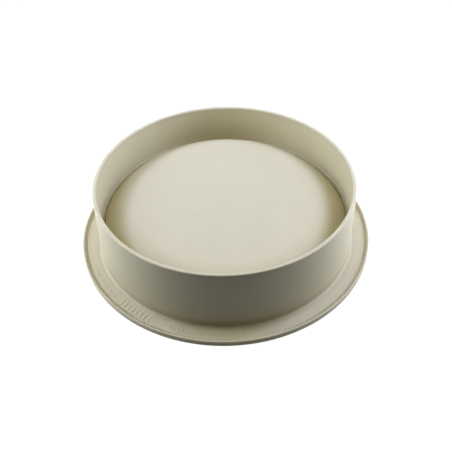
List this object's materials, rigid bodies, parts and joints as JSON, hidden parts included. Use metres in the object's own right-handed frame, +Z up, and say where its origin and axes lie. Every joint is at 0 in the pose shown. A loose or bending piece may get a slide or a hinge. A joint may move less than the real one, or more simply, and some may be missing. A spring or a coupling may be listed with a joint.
{
  "type": "silicone cake mould",
  "caption": "Round silicone cake mould with a drafted wall, a domed floor inside it and a flat flange with a raised edge bead.",
  "frame": {"origin": "centre of the flange's underside, on the turning axis, in the plane that the mould stands on", "axes": "+Z up along the turning axis, from the flange to the free edge of the wall; -Y faces the camera of the picture"},
  "size_m": [0.211, 0.211, 0.05],
  "materials": {
    "silicone": "matte"
  },
  "bodies": {
    "root": {"rim_flange": "silicone", "edge_bead": "silicone", "side_wall": "silicone", "groove_ring": "silicone", "domed_floor": "silicone"}
  },
  "joints": []
}
